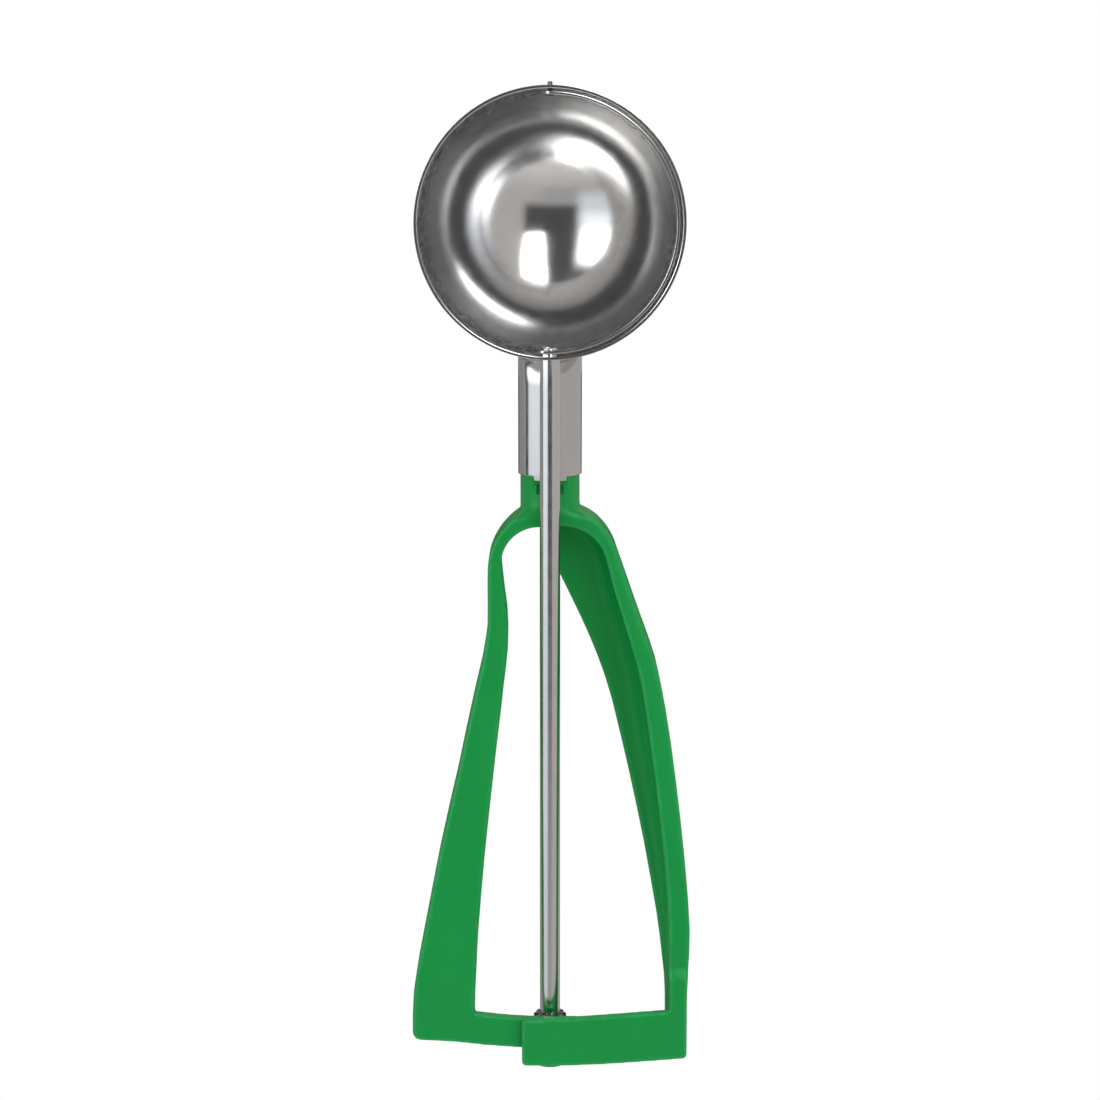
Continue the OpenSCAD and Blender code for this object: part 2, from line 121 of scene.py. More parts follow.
# ---------------------------------------------------------------- node helper
class Tree:
    """Short names for building a node tree."""

    def __init__(self, tree):
        self.tree = tree
        self.nodes = tree.nodes
        self.links = tree.links

    def add(self, kind, **settings):
        node = self.nodes.new(kind)
        for key, value in settings.items():
            setattr(node, key, value)
        return node

    def put(self, socket, value):
        if isinstance(value, bpy.types.NodeSocket):
            self.links.new(value, socket)
        elif hasattr(socket.default_value, "__len__") and not hasattr(value, "__len__"):
            socket.default_value = [value] * len(socket.default_value)
        else:
            socket.default_value = value

    def math(self, operation, a, b=0.0):
        node = self.add("ShaderNodeMath", operation=operation)
        self.put(node.inputs[0], a)
        self.put(node.inputs[1], b)
        return node.outputs[0]

    def step(self, value, low, high, to_low=0.0, to_high=1.0):
        """Smooth step from to_low to to_high as value goes from low to high."""
        node = self.add("ShaderNodeMapRange", interpolation_type="SMOOTHSTEP")
        for socket, item in zip(node.inputs[:5], (value, low, high, to_low, to_high)):
            self.put(socket, item)
        return node.outputs[0]

    def band(self, value, low, high, soft):
        """1 between low and high, falling to 0 over soft on either side."""
        rise = self.step(value, low - soft, low + soft)
        fall = self.step(value, high - soft, high + soft, 1.0, 0.0)
        return self.math("MULTIPLY", rise, fall)

    def mix(self, factor, a, b, blend="MIX"):
        node = self.add("ShaderNodeMix", data_type="RGBA", blend_type=blend)
        self.put(node.inputs[0], factor)
        self.put(node.inputs[6], a)
        self.put(node.inputs[7], b)
        return node.outputs[2]

    def noise(self, vector, scale, detail, rough, dims="3D"):
        node = self.add("ShaderNodeTexNoise", noise_dimensions=dims)
        if dims == "1D":
            self.put(node.inputs["W"], vector)
        else:
            self.put(node.inputs["Vector"], vector)
        node.inputs["Scale"].default_value = scale
        node.inputs["Detail"].default_value = detail
        node.inputs["Roughness"].default_value = rough
        return node.outputs["Fac"]

    def stretch(self, vector, scale):
        node = self.add("ShaderNodeMapping")
        self.put(node.inputs["Vector"], vector)
        node.inputs["Scale"].default_value = scale
        return node.outputs[0]

    def bump(self, height, distance, strength=1.0, normal=None):
        node = self.add("ShaderNodeBump")
        node.inputs["Strength"].default_value = strength
        node.inputs["Distance"].default_value = distance
        self.put(node.inputs["Height"], height)
        if normal is not None:
            self.put(node.inputs["Normal"], normal)
        return node.outputs[0]


def rgb(r, g, b):
    return (r, g, b, 1.0)


# ---------------------------------------------------------------- world and lamps
ROOM = [
    # azimuth from the front, elevation, edge softness of each (degrees), colour
    # the camera's side of the room, its upper left, and the floor on the left
    ((-26, 23), (-15, 100), (4, 5), (0.085, 0.085, 0.09)),
    ((-60, -20), (42, 100), (8, 5), (0.12, 0.12, 0.13)),
    ((-105, 8), (-30, -16), (10, 5), (0.45, 0.45, 0.45)),
    # window on the left, brighter inwards
    ((-86, -27), (-24, 36), (7, 8), (0.85, 0.90, 0.96)),
    ((-84, -28), (-7, 35), (7, 6), (1.35, 1.42, 1.5)),
    ((-80, -30), (8, 33), (6, 7), (4.5, 4.6, 4.7)),
    # dull wall beyond the window, its frame, and the dark far wall
    ((-166, -104), (-40, 60), (12, 8), (0.36, 0.345, 0.335)),
    ((-98, -86), (-40, 60), (2.5, 8), (0.05, 0.05, 0.05)),
    ((150, 200), (-34, 8), (7, 8), (0.04, 0.045, 0.04)),
    ((-200, -150), (-34, 8), (7, 8), (0.04, 0.045, 0.04)),
]
WALL, FLOOR_GLOW = (0.56, 0.535, 0.515), (0.86, 0.83, 0.8)
CEILING_GLOW, EVEN_SKY = (7.0, 7.0, 7.0), (0.84, 0.84, 0.85)
CEILING_AZIMUTH, CEILING_LEAN = 12, 0.15            # degrees, and degrees per degree of elevation
CEILING_HALF, CEILING_SPREAD = 6.0, 0.17
CEILING_LOW, CEILING_HIGH = 11, 62


def add_world():
    world = bpy.data.worlds.new("studio")
    bpy.context.scene.world = world
    world.use_nodes = True
    world.cycles.sampling_method = "NONE"
    t = Tree(world.node_tree)
    t.nodes.clear()
    direction = t.add("ShaderNodeTexCoord").outputs["Generated"]
    parts = t.add("ShaderNodeSeparateXYZ")
    t.links.new(direction, parts.inputs[0])
    x, y, z = parts.outputs
    azimuth = t.math("DEGREES", t.math("ARCTAN2", x, t.math("MULTIPLY", y, -1)))
    elevation = t.math("DEGREES", t.math("ARCSINE", z))
    # warm walls and a paler floor
    colour = t.mix(t.step(elevation, -60, -22, 1.0, 0.0), rgb(*WALL), rgb(*FLOOR_GLOW))
    for (az0, az1), (el0, el1), (soft_az, soft_el), shade in ROOM:
        mask = t.math("MULTIPLY", t.band(azimuth, az0, az1, soft_az), t.band(elevation, el0, el1, soft_el))
        colour = t.mix(mask, colour, rgb(*shade))
    # ceiling light that widens overhead
    half = t.math("ADD", t.math("MULTIPLY", elevation, CEILING_SPREAD), CEILING_HALF)
    middle = t.math("ADD", t.math("MULTIPLY", elevation, CEILING_LEAN), CEILING_AZIMUTH)
    offset = t.math("ABSOLUTE", t.math("SUBTRACT", azimuth, middle))
    across = t.step(t.math("SUBTRACT", offset, half), -2.5, 2.5, 1.0, 0.0)
    mask = t.math("MULTIPLY", across, t.band(elevation, CEILING_LOW, CEILING_HIGH, 2))
    colour = t.mix(mask, colour, rgb(*CEILING_GLOW))
    # glossy rays see the room, camera rays plain white, and the rest an even sky
    rays = t.add("ShaderNodeLightPath").outputs
    shiny = t.math("MAXIMUM", rays["Is Glossy Ray"], rays["Is Transmission Ray"])
    colour = t.mix(shiny, rgb(*EVEN_SKY), colour)
    colour = t.mix(rays["Is Camera Ray"], colour, rgb(1, 1, 1))
    background = t.add("ShaderNodeBackground")
    t.links.new(colour, background.inputs["Color"])
    out = t.add("ShaderNodeOutputWorld")
    t.links.new(background.outputs[0], out.inputs[0])


def add_lamp(name, place, target, size, watts, colour=(1, 1, 1)):
    data = bpy.data.lights.new(name, "AREA")
    data.shape = "DISK"
    data.size = size
    data.energy = watts
    data.color = colour
    lamp = bpy.data.objects.new(name, data)
    lamp.location = place
    lamp.rotation_euler = (Vector(target) - Vector(place)).to_track_quat("-Z", "Y").to_euler()
    lamp.visible_glossy = False
    lamp.visible_camera = False
    bpy.context.scene.collection.objects.link(lamp)


FLOOR_Z, FLOOR_R = -0.42, 3.0                       # metres
FLOOR_CLEAR = (0.25, 0.6)                           # it fades out between these distances from its middle


def add_floor():
    """Pale floor under the hanging scoop, fading out away from it."""
    mesh = bpy.data.meshes.new("floor")
    bm = bmesh.new()
    bmesh.ops.create_circle(bm, cap_ends=True, segments=96, radius=FLOOR_R)
    bm.to_mesh(mesh)
    bm.free()
    floor = bpy.data.objects.new("floor", mesh)
    floor.location = (0, 0, FLOOR_Z)
    bpy.context.scene.collection.objects.link(floor)
    material = bpy.data.materials.new("floor_white")
    material.use_nodes = True
    t = Tree(material.node_tree)
    t.nodes.clear()
    place = t.add("ShaderNodeTexCoord").outputs["Object"]
    length = t.add("ShaderNodeVectorMath", operation="LENGTH")
    t.links.new(place, length.inputs[0])
    far = t.step(length.outputs["Value"], *FLOOR_CLEAR)
    diffuse = t.add("ShaderNodeBsdfDiffuse")
    diffuse.inputs["Color"].default_value = rgb(0.8, 0.8, 0.8)
    clear = t.add("ShaderNodeBsdfTransparent")
    blend = t.add("ShaderNodeMixShader")
    t.links.new(far, blend.inputs[0])
    t.links.new(diffuse.outputs[0], blend.inputs[1])
    t.links.new(clear.outputs[0], blend.inputs[2])
    out = t.add("ShaderNodeOutputMaterial")
    t.links.new(blend.outputs[0], out.inputs[0])
    mesh.materials.append(material)


# ---------------------------------------------------------------- materials
def new_material(name):
    material = bpy.data.materials.new(name)
    material.use_nodes = True
    t = Tree(material.node_tree)
    shader = t.nodes["Principled BSDF"]
    place = t.add("ShaderNodeTexCoord").outputs["Object"]
    return material, t, shader, place


def spun_steel():
    """Bright steel turned on a lathe: fine rings about the bowl's axis, and faint wiping marks."""
    material, t, shader, place = new_material("spun_steel")
    parts = t.add("ShaderNodeSeparateXYZ")
    t.links.new(place, parts.inputs[0])
    x, y, z = parts.outputs
    z = t.math("SUBTRACT", z, BOWL_Z * MM)
    radius = t.math("SQRT", t.math("ADD", t.math("MULTIPLY", x, x), t.math("MULTIPLY", z, z)))
    along = t.math("ADD", radius, t.math("MULTIPLY", y, -0.8))
    fine = t.noise(along, 9000, 2, 0.6, "1D")
    broad = t.noise(along, 700, 2, 0.5, "1D")
    smear = t.noise(place, 260, 3, 0.55)
    shader.inputs["Metallic"].default_value = 1.0
    base = t.mix(smear, rgb(0.655, 0.65, 0.645), rgb(0.7, 0.695, 0.69))
    t.links.new(base, shader.inputs["Base Color"])
    roughness = t.math("ADD", t.math("MULTIPLY", fine, 0.05), t.math("MULTIPLY", smear, 0.06))
    satin = t.step(radius, 0.76 * BOWL_R * MM, 0.95 * BOWL_R * MM, 0.0, 0.14)
    inside = t.step(y, (0.35 - BOWL_LIP) * MM, (0.5 - BOWL_LIP) * MM, -0.05, 1.0)
    satin = t.math("MULTIPLY", satin, inside)
    t.links.new(t.math("ADD", t.math("ADD", roughness, satin), 0.075), shader.inputs["Roughness"])
    normal = t.bump(fine, 0.0000012)
    t.links.new(t.bump(broad, 0.000003, 1.0, normal), shader.inputs["Normal"])
    return material


def drawn_steel(name, tone, low, high, streak=1.0):
    """Steel drawn through a die: streaks along Z, with small changes in gloss."""
    material, t, shader, place = new_material(name)
    streaks = t.noise(t.stretch(place, (1.0, 1.0, 0.012)), 5200, 3, 0.6)
    cloud = t.noise(place, 300, 3, 0.5)
    pits = t.noise(t.stretch(place, (1.0, 1.0, 0.25)), 2600, 2, 0.5)
    shader.inputs["Metallic"].default_value = 1.0
    light = tuple(min(1.0, c * 1.07) for c in tone)
    t.links.new(t.mix(cloud, rgb(*tone), rgb(*light)), shader.inputs["Base Color"])
    mean = t.math("ADD", t.math("MULTIPLY", streaks, 0.5), t.math("MULTIPLY", cloud, 0.5))
    t.links.new(t.step(mean, 0.3, 0.7, low, high), shader.inputs["Roughness"])
    normal = t.bump(streaks, 0.0000022 * streak)
    t.links.new(t.bump(pits, 0.000002, 0.6, normal), shader.inputs["Normal"])
    return material


def weld_steel():
    """Weld metal with a straw and blue heat tint on its shoulders."""
    material, t, shader, place = new_material("weld_steel")
    grain = t.noise(place, 1500, 4, 0.6)
    tint = t.noise(place, 420, 2, 0.5)
    shader.inputs["Metallic"].default_value = 1.0
    base = t.mix(t.step(tint, 0.45, 0.7), rgb(0.56, 0.55, 0.54), rgb(0.5, 0.42, 0.3))
    base = t.mix(t.step(tint, 0.62, 0.8), base, rgb(0.36, 0.38, 0.48))
    t.links.new(base, shader.inputs["Base Color"])
    t.links.new(t.step(grain, 0.3, 0.7, 0.24, 0.42), shader.inputs["Roughness"])
    t.links.new(t.bump(grain, 0.00002), shader.inputs["Normal"])
    return material


def green_nylon():
    """Moulded green nylon: a fine satin grain, paler edges that are partly rubbed wear and partly a painted
    highlight, and small changes in gloss.
    """
    material, t, shader, place = new_material("green_nylon")
    grain = t.noise(place, 4200, 3, 0.55)
    flow = t.noise(t.stretch(place, (1.0, 1.0, 0.3)), 120, 4, 0.55)
    scuff = t.noise(t.stretch(place, (1.0, 1.0, 0.22)), 900, 5, 0.62)
    edge = t.add("ShaderNodeAttribute", attribute_name="edge").outputs["Fac"]
    base = t.mix(flow, rgb(0.003, 0.262, 0.046), rgb(0.0045, 0.286, 0.056))
    # paler convex edges, partly rubbed wear and partly a painted highlight along the edges
    worn_and_highlit_edges = t.math("MULTIPLY", t.step(edge, 0.15, 0.8), t.step(scuff, 0.35, 0.6, 0.25, 0.85))
    base = t.mix(worn_and_highlit_edges, base, rgb(0.02, 0.33, 0.08))
    t.links.new(base, shader.inputs["Base Color"])
    shader.inputs["Specular IOR Level"].default_value = 0.2
    gloss = t.math("ADD", t.math("MULTIPLY", scuff, 0.12), t.math("MULTIPLY", flow, 0.08))
    t.links.new(t.math("ADD", gloss, 0.27), shader.inputs["Roughness"])
    normal = t.bump(grain, 0.000004)
    t.links.new(t.bump(flow, 0.00003, 0.5, normal), shader.inputs["Normal"])
    return material


def black_acetal():
    """Dark moulded gear plastic with a greasy sheen."""
    material, t, shader, place = new_material("black_acetal")
    grain = t.noise(place, 2400, 3, 0.5)
    cloud = t.noise(place, 500, 2, 0.5)
    t.links.new(t.mix(cloud, rgb(0.045, 0.046, 0.045), rgb(0.085, 0.087, 0.083)), shader.inputs["Base Color"])
    shader.inputs["Specular IOR Level"].default_value = 0.8
    t.links.new(t.step(cloud, 0.3, 0.7, 0.16, 0.3), shader.inputs["Roughness"])
    t.links.new(t.bump(grain, 0.000008), shader.inputs["Normal"])
    return material


# ---------------------------------------------------------------- mesh helpers
def new_object(name, mesh, material):
    obj = bpy.data.objects.new(name, mesh)
    bpy.context.scene.collection.objects.link(obj)
    mesh.materials.clear()
    mesh.materials.append(material)
    return obj


def mesh_from(name, points, faces, material):
    """Smooth-shaded object from points in mm."""
    mesh = bpy.data.meshes.new(name)
    mesh.from_pydata([tuple(c * MM for c in p) for p in points], [], faces)
    mesh.update()
    bm = bmesh.new()
    bm.from_mesh(mesh)
    bmesh.ops.recalc_face_normals(bm, faces=bm.faces)
    bm.to_mesh(mesh)
    bm.free()
    mesh.polygons.foreach_set("use_smooth", [True] * len(mesh.polygons))
    return new_object(name, mesh, material)


def lathe(name, profile, material, segments=96, centre=(0, 0, 0), axis="Z"):
    """Turns a closed profile of [radius, height] about an axis. Points on the axis become single points."""
    points, faces, rings = [], [], []
    for radius, height in profile:
        if radius < 1e-6:
            rings.append([len(points)])
            points.append((0, 0, height))
            continue
        rings.append(list(range(len(points), len(points) + segments)))
        for k in range(segments):
            angle = TAU * k / segments
            points.append((radius * math.cos(angle), radius * math.sin(angle), height))
    closed = profile[0][0] > 1e-6 and profile[-1][0] > 1e-6
    pairs = list(zip(rings, rings[1:])) + ([(rings[-1], rings[0])] if closed else [])
    for a, b in pairs:
        for k in range(segments):
            j = (k + 1) % segments
            if len(a) == 1:
                faces.append((a[0], b[j], b[k]))
            elif len(b) == 1:
                faces.append((a[k], a[j], b[0]))
            else:
                faces.append((a[k], a[j], b[j], b[k]))
    if axis == "Y":
        points = [(x, z, -y) for x, y, z in points]
    points = [(x + centre[0], y + centre[1], z + centre[2]) for x, y, z in points]
    return mesh_from(name, points, faces, material)


def box(name, centre, size, material):
    """Box from its centre and size, mm."""
    bm = bmesh.new()
    place = Matrix.Translation([c * MM for c in centre])
    bmesh.ops.create_cube(bm, size=1.0, matrix=place @ Matrix.Diagonal([c * MM for c in size] + [1]))
    mesh = bpy.data.meshes.new(name)
    bm.to_mesh(mesh)
    bm.free()
    return new_object(name, mesh, material)


def arc(cx, cy, radius, start, end, count):
    """Points of an arc, angles in degrees."""
    return [(cx + radius * math.cos(math.radians(start + (end - start) * k / count)),
             cy + radius * math.sin(math.radians(start + (end - start) * k / count))) for k in range(count + 1)]


def apply_modifiers(obj):
    bpy.context.view_layer.update()
    evaluated = obj.evaluated_get(bpy.context.evaluated_depsgraph_get())
    mesh = bpy.data.meshes.new_from_object(evaluated)
    obj.modifiers.clear()
    old = obj.data
    obj.data = mesh
    bpy.data.meshes.remove(old)


def cut_with(obj, cutter):
    boolean = obj.modifiers.new("cut", "BOOLEAN")
    boolean.operation = "DIFFERENCE"
    boolean.solver = "EXACT"
    boolean.object = cutter
    apply_modifiers(obj)
    bpy.data.objects.remove(cutter)


def soften(obj, width, angle=35, segments=3):
    """Small round on every sharp edge, shaded by weighted normals."""
    bevel = obj.modifiers.new("edges", "BEVEL")
    bevel.width = width * MM
    bevel.segments = segments
    bevel.limit_method = "ANGLE"
    bevel.angle_limit = math.radians(angle)
    bevel.harden_normals = False
    normals = obj.modifiers.new("normals", "WEIGHTED_NORMAL")
    normals.keep_sharp = True


def give(obj, body, slot, *replaced):
    """Attaches a piece to its body and hides the nodes of the frame that it stands for; slot is not used."""
    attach(obj, body)
    if replaced:
        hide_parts(*replaced)


# ---------------------------------------------------------------- steel pieces
def make_bowl(material):
    inner = BOWL_R - BOWL_WALL
    rim, lip = 0.1, 0.22
    profile = [(0, BOWL_R)] + arc(0, 0, BOWL_R, 89.2, 0, 84)
    profile += [(BOWL_R, -BOWL_LIP * f) for f in (0.2, 0.4, 0.6, 0.8)]
    profile += arc(BOWL_R - rim, -BOWL_LIP + rim, rim, 0, -90, 5)
    profile += arc(inner + lip, -BOWL_LIP + lip, lip, -90, -180, 7)
    profile += [(inner, -BOWL_LIP * f) for f in (0.8, 0.6, 0.4, 0.2)]
    profile += arc(0, 0, inner, 0, 89.2, 84) + [(0, inner)]
    bowl = lathe("bowl_shell", profile, material, 240, (0, 0, BOWL_Z), "Y")
    for radius, height in ((SHAFT_R + SHAFT_PLAY, -BOWL_R), (PIN_HOLE_R, BOWL_R)):
        cut_with(bowl, lathe("cutter", [(0, -3), (radius, -3), (radius, 3), (0, 3)], material, 48,
                             (0, 0, BOWL_Z + height)))
    give(bowl, "handle", "bowl_steel", "bowl")


def make_ferrule(material):
    """Tube coped to the bowl, with a softly broken lower edge that reaches lower in a small tab in front."""
    end = math.degrees(math.asin(TAB_HALF / FERRULE_R))
    turns = [k * 360 / 128 for k in range(128)]
    angles = [turn for turn in turns if abs(abs(turn - 270) - end) > 1.5]
    angles = sorted(angles + [270 + side * (end + d) for side in (-1, 1) for d in (-1.2, -0.5, 0.1, 0.7)])
    count = len(angles)
    edge = 0.25
    inner = FERRULE_R - FERRULE_WALL
    profile = arc(inner + edge, edge, edge, 180, 270, 4) + arc(FERRULE_R - edge, edge, edge, -90, 0, 4)
    points, faces, rows = [], [], []
    for radius, rise in profile:
        rows.append([(radius, FERRULE_Z + rise)] * count)
    for part in (0.012, 0.03, 0.25, 0.5, 0.75, 1.0):
        rows.append([(FERRULE_R, part)] * count)
    for part in (1.0, 0.75, 0.5, 0.25, 0.03, 0.012):
        rows.append([(inner, part)] * count)
    for index, row in enumerate(rows):
        for k, (radius, height) in enumerate(row):
            angle = math.radians(angles[k])
            x, y = radius * math.cos(angle), FERRULE_Y + radius * math.sin(angle)
            if index < len(profile):
                height -= min(1, max(0, (end + 0.7 - abs(angles[k] - 270)) / 1.9)) * TAB_DROP
            else:
                top = BOWL_Z - math.sqrt(max(BOWL_R ** 2 - x * x - y * y, 0)) - 0.01
                height = FERRULE_Z + edge + (top - FERRULE_Z - edge) * height
            points.append((x, y, height))
    n = len(rows)
    for i in range(n):
        a, b = i * count, ((i + 1) % n) * count
        for k in range(count):
            j = (k + 1) % count
            faces.append((a + k, a + j, b + j, b + k))
    tube = mesh_from("ferrule_tube", points, faces, material)
    give(tube, "handle", "tube_steel", "ferrule")


def make_weld(material):
    """Row of small weld ripples round the joint of tube and bowl."""
    steps, sides = 300, 14
    buried = BOWL_R - 0.15
    bowl_centre = Vector((0, 0, BOWL_Z))
    points, faces = [], []
    for k in range(steps):
        angle = TAU * k / steps
        x, y = FERRULE_R * math.cos(angle), FERRULE_Y + FERRULE_R * math.sin(angle)
        depth = math.sqrt(BOWL_R ** 2 - x * x - y * y)
        room = math.hypot(x, y) - SHAFT_R - 0.2
        ripple = abs(math.sin(25 * angle + 0.6 * math.sin(7 * angle)))
        size = min(0.72 + 0.16 * ripple + 0.05 * math.sin(3 * angle), room)
        out = Vector((math.cos(angle), math.sin(angle), 0))
        down = Vector((x, y, -depth)).normalized()
        ahead = Vector((-math.sin(angle), math.cos(angle), 0))
        centre = Vector((x, y, BOWL_Z - depth))
        across = (out + down * 0.3).normalized()
        upward = ahead.cross(across).normalized()
        for s in range(sides):
            turn = TAU * s / sides
            p = centre + (across * math.cos(turn) + upward * math.sin(turn)) * size
            from_bowl = p - bowl_centre
            if from_bowl.length < buried:
                p = bowl_centre + from_bowl.normalized() * buried
            points.append(tuple(p))
    for k in range(steps):
        for s in range(sides):
            a, b = k * sides, ((k + 1) % steps) * sides
            t = (s + 1) % sides
            faces.append((a + s, b + s, b + t, a + t))
    weld = mesh_from("weld_ripples", points, faces, material)
    give(weld, "handle", "tube_steel", "weld_bead")


def make_shaft(material):
    shoulder = BOWL_Z - BLADE_R
    lower = [(0, SHAFT_FOOT), (JOURNAL_R - 0.3, SHAFT_FOOT), (JOURNAL_R, SHAFT_FOOT + 0.3)]
    lower += [(JOURNAL_R, PINION_TOP - 0.05), (JOURNAL_R + 0.1, PINION_TOP), (SHAFT_R - 0.25, PINION_TOP)]
    body = [(SHAFT_R - 0.06, PINION_TOP + 0.06), (SHAFT_R, PINION_TOP + 0.3)]
    body += [(SHAFT_R, z) for z in range(-110, 50, 8)]
    body += [(SHAFT_R, shoulder - 0.35), (SHAFT_R - 0.06, shoulder - 0.08), (SHAFT_R - 0.3, shoulder),
             (TENON * 0.45, shoulder + 0.01), (0, shoulder + 0.01)]
    shaft = lathe("shaft_rod", lower + body, material, 72)
    shaft.data.set_sharp_from_angle(angle=math.radians(50))
    give(shaft, "scraper", "rod_steel", "shaft")
    # square tenon through the hoop, peened over into a low dome
    width = TENON - 0.04
    tenon = box("shaft_tenon", (0, 0, shoulder + 0.52), (width, width, 1.06), material)
    soften(tenon, 0.18)
    give(tenon, "scraper", "rod_steel")
    base = shoulder + 0.86
    dome = [(0, base), (1.95, base), (2.08, base + 0.1), (2.04, base + 0.26)]
    dome += [(r, base + 0.1 + 0.78 * math.sqrt(max(0, 1 - (r / 2.1) ** 2))) for r in (1.9, 1.6, 1.2, 0.8, 0.4)]
    dome += [(0, base + 0.86)]
    head = lathe("peened_head", dome, material, 40)
    rough_up(head, 0.035, 7)
    give(head, "scraper", "rod_steel")


def make_hoop(material):
    """Scraper hoop: a strip of thin sphere on the +X side, whose ends pass the pivots by a little."""
    inner = BLADE_R - BLADE_T
    past_top, past_foot = math.degrees(1.3 / BLADE_R), math.degrees(2.6 / BLADE_R)
    steps = 150
    angles = [-90 - past_foot + k * (180 + past_foot + past_top) / steps for k in range(steps + 1)]
    rounding, edge = 0.9, 0.14
    points, faces, rows = [], [], []
    for turn in angles:
        end = min(turn - angles[0], angles[-1] - turn) * math.radians(1) * BLADE_R
        half = BLADE_HALF
        if end < rounding:
            half -= rounding - math.sqrt(max(0, rounding ** 2 - (rounding - end) ** 2))
        section = arc(half - edge, BLADE_R - edge, edge, 0, 90, 3)
        section += [(half * f, BLADE_R) for f in (0.6, 0.2, -0.2, -0.6)]
        section += arc(-half + edge, BLADE_R - edge, edge, 90, 180, 3)
        section += arc(-half + edge, inner + edge, edge, 180, 270, 3)
        section += [(half * f, inner) for f in (-0.6, -0.2, 0.2, 0.6)]
        section += arc(half - edge, inner + edge, edge, 270, 360, 3)
        rows.append(len(points))
        for y, radius in section:
            level = math.sqrt(radius ** 2 - y ** 2)
            angle = math.radians(turn)
            points.append((level * math.cos(angle), y, BOWL_Z + level * math.sin(angle)))
    count = len(section)
    for a, b in zip(rows, rows[1:]):
        faces += [(a + k, a + (k + 1) % count, b + (k + 1) % count, b + k) for k in range(count)]
    faces += [tuple(range(count)), tuple(range(rows[-1] + count - 1, rows[-1] - 1, -1))]
    hoop = mesh_from("scraper_hoop", points, faces, material)
    hoop.data.set_sharp_from_angle(angle=math.radians(50))
    give(hoop, "scraper", "blade_steel", "scraper_blade")


def make_pin(material):
    """Slim rivet through the hoop's upper end that turns in the rim of the bowl."""
    foot, top = BOWL_Z + BLADE_R - BLADE_T, BOWL_Z + BOWL_R + 0.85
    profile = [(0, foot - 0.45), (0.8, foot - 0.45), (1.0, foot - 0.35), (1.05, foot - 0.2), (1.0, foot - 0.05)]
    profile += [(0.62, foot), (0.6, top - 0.18), (0.52, top - 0.06), (0.4, top), (0, top)]
    pin = lathe("pivot_rivet", profile, material, 40)
    pin.data.set_sharp_from_angle(angle=math.radians(40))
    rough_up(pin, 0.02, 3)
    give(pin, "scraper", "rod_steel", "pivot_pin")


def vectors_of(mesh, what):
    """Places ("co") or normals ("normal") of a mesh's vertices, one per row."""
    values = np.empty(len(mesh.vertices) * 3)
    mesh.vertices.foreach_get(what, values)
    return values.reshape(-1, 3)


def rough_up(obj, amount, seed):
    """Small hammer marks: moves points along their normals by a few waves of a few millimetres' length."""
    count, pace = 6, 2400
    rng = np.random.default_rng(seed)
    waves = rng.normal(0, pace, (count, 3))
    shift = rng.uniform(0, TAU, count)
    mesh = obj.data
    place, normal = vectors_of(mesh, "co"), vectors_of(mesh, "normal")
    value = np.sin(place @ waves.T + shift).sum(1) / count
    mesh.vertices.foreach_set("co", (place + normal * (value * amount * MM)[:, None]).ravel())
    mesh.update()


# ---------------------------------------------------------------- mouldings
def sliced(mesh, point, normal):
    """Closed copy of a closed mesh without what lies on the side of a plane that its normal points to."""
    bm = bmesh.new()
    bm.from_mesh(mesh)
    bmesh.ops.remove_doubles(bm, verts=bm.verts[:], dist=1e-6)
    bmesh.ops.bisect_plane(bm, geom=bm.verts[:] + bm.edges[:] + bm.faces[:], clear_outer=True,
                           plane_co=tuple(c * MM for c in point), plane_no=normal)
    bmesh.ops.holes_fill(bm, edges=[e for e in bm.edges if e.is_boundary])
    out = bpy.data.meshes.new("slice")
    bm.to_mesh(out)
    bm.free()
    return out


def neck_flare(side, material):
    """Fillet that carries the round neck onto one shoulder, flush with the yoke's faces."""
    across, height, radius = SHOULDERS[side]
    run = NECK_R + NECK_FILLET - side * across
    reach = radius + NECK_FILLET
    level = height + math.sqrt(reach ** 2 - run ** 2)
    touch = 180 + math.degrees(math.acos(run / reach))
    curve = arc(NECK_R - 0.04 + NECK_FILLET, level, NECK_FILLET, 180, touch, 10)
    profile = [(0, level)] + curve + [(curve[-1][0], FLARE_FOOT), (0, FLARE_FOOT)]
    obj = lathe("flare", profile, material, 120, (0, FERRULE_Y, 0))
    mesh = obj.data
    for point, normal in (((0, FRONT_Y + 0.02, 0), (0, -1, 0)), ((0, BACK_Y - 0.02, 0), (0, 1, 0)),
                          ((-0.3 * side, 0, 0), (-side, 0, 0))):
        mesh = sliced(mesh, point, normal)
    bpy.data.objects.remove(obj)
    return mesh


def neck_pocket(obj, material):
    """Shallow recess in the front of the neck, under the ferrule's tab and behind the shaft."""
    depth = 10
    for low, half, floor in POCKETS:
        cut_with(obj, box("pocket", (0, floor - depth / 2, (low + POCKET_TOP) / 2),
                          (2 * half, depth, POCKET_TOP - low), material))


def shoulder_filler():
    """Fills the seat between the yoke's left shoulder and the lever, in one moulding on the real thing."""
    outline = [(-15.08, -1), (-15.08, 0), (-14.72, 1.75), (-11.4, 1.75), (-11.92, 0), (-11.92, -1)]
    count = len(outline)
    points = [(x * MM, y * MM, z * MM) for y in (FRONT_Y + 0.05, BACK_Y - 0.05) for x, z in outline]
    faces = [list(range(count)), list(range(2 * count - 1, count - 1, -1))]
    faces += [[k, k + count, (k + 1) % count + count, (k + 1) % count] for k in range(count)]
    mesh = bpy.data.meshes.new("filler")
    mesh.from_pydata(points, [], faces)
    return mesh


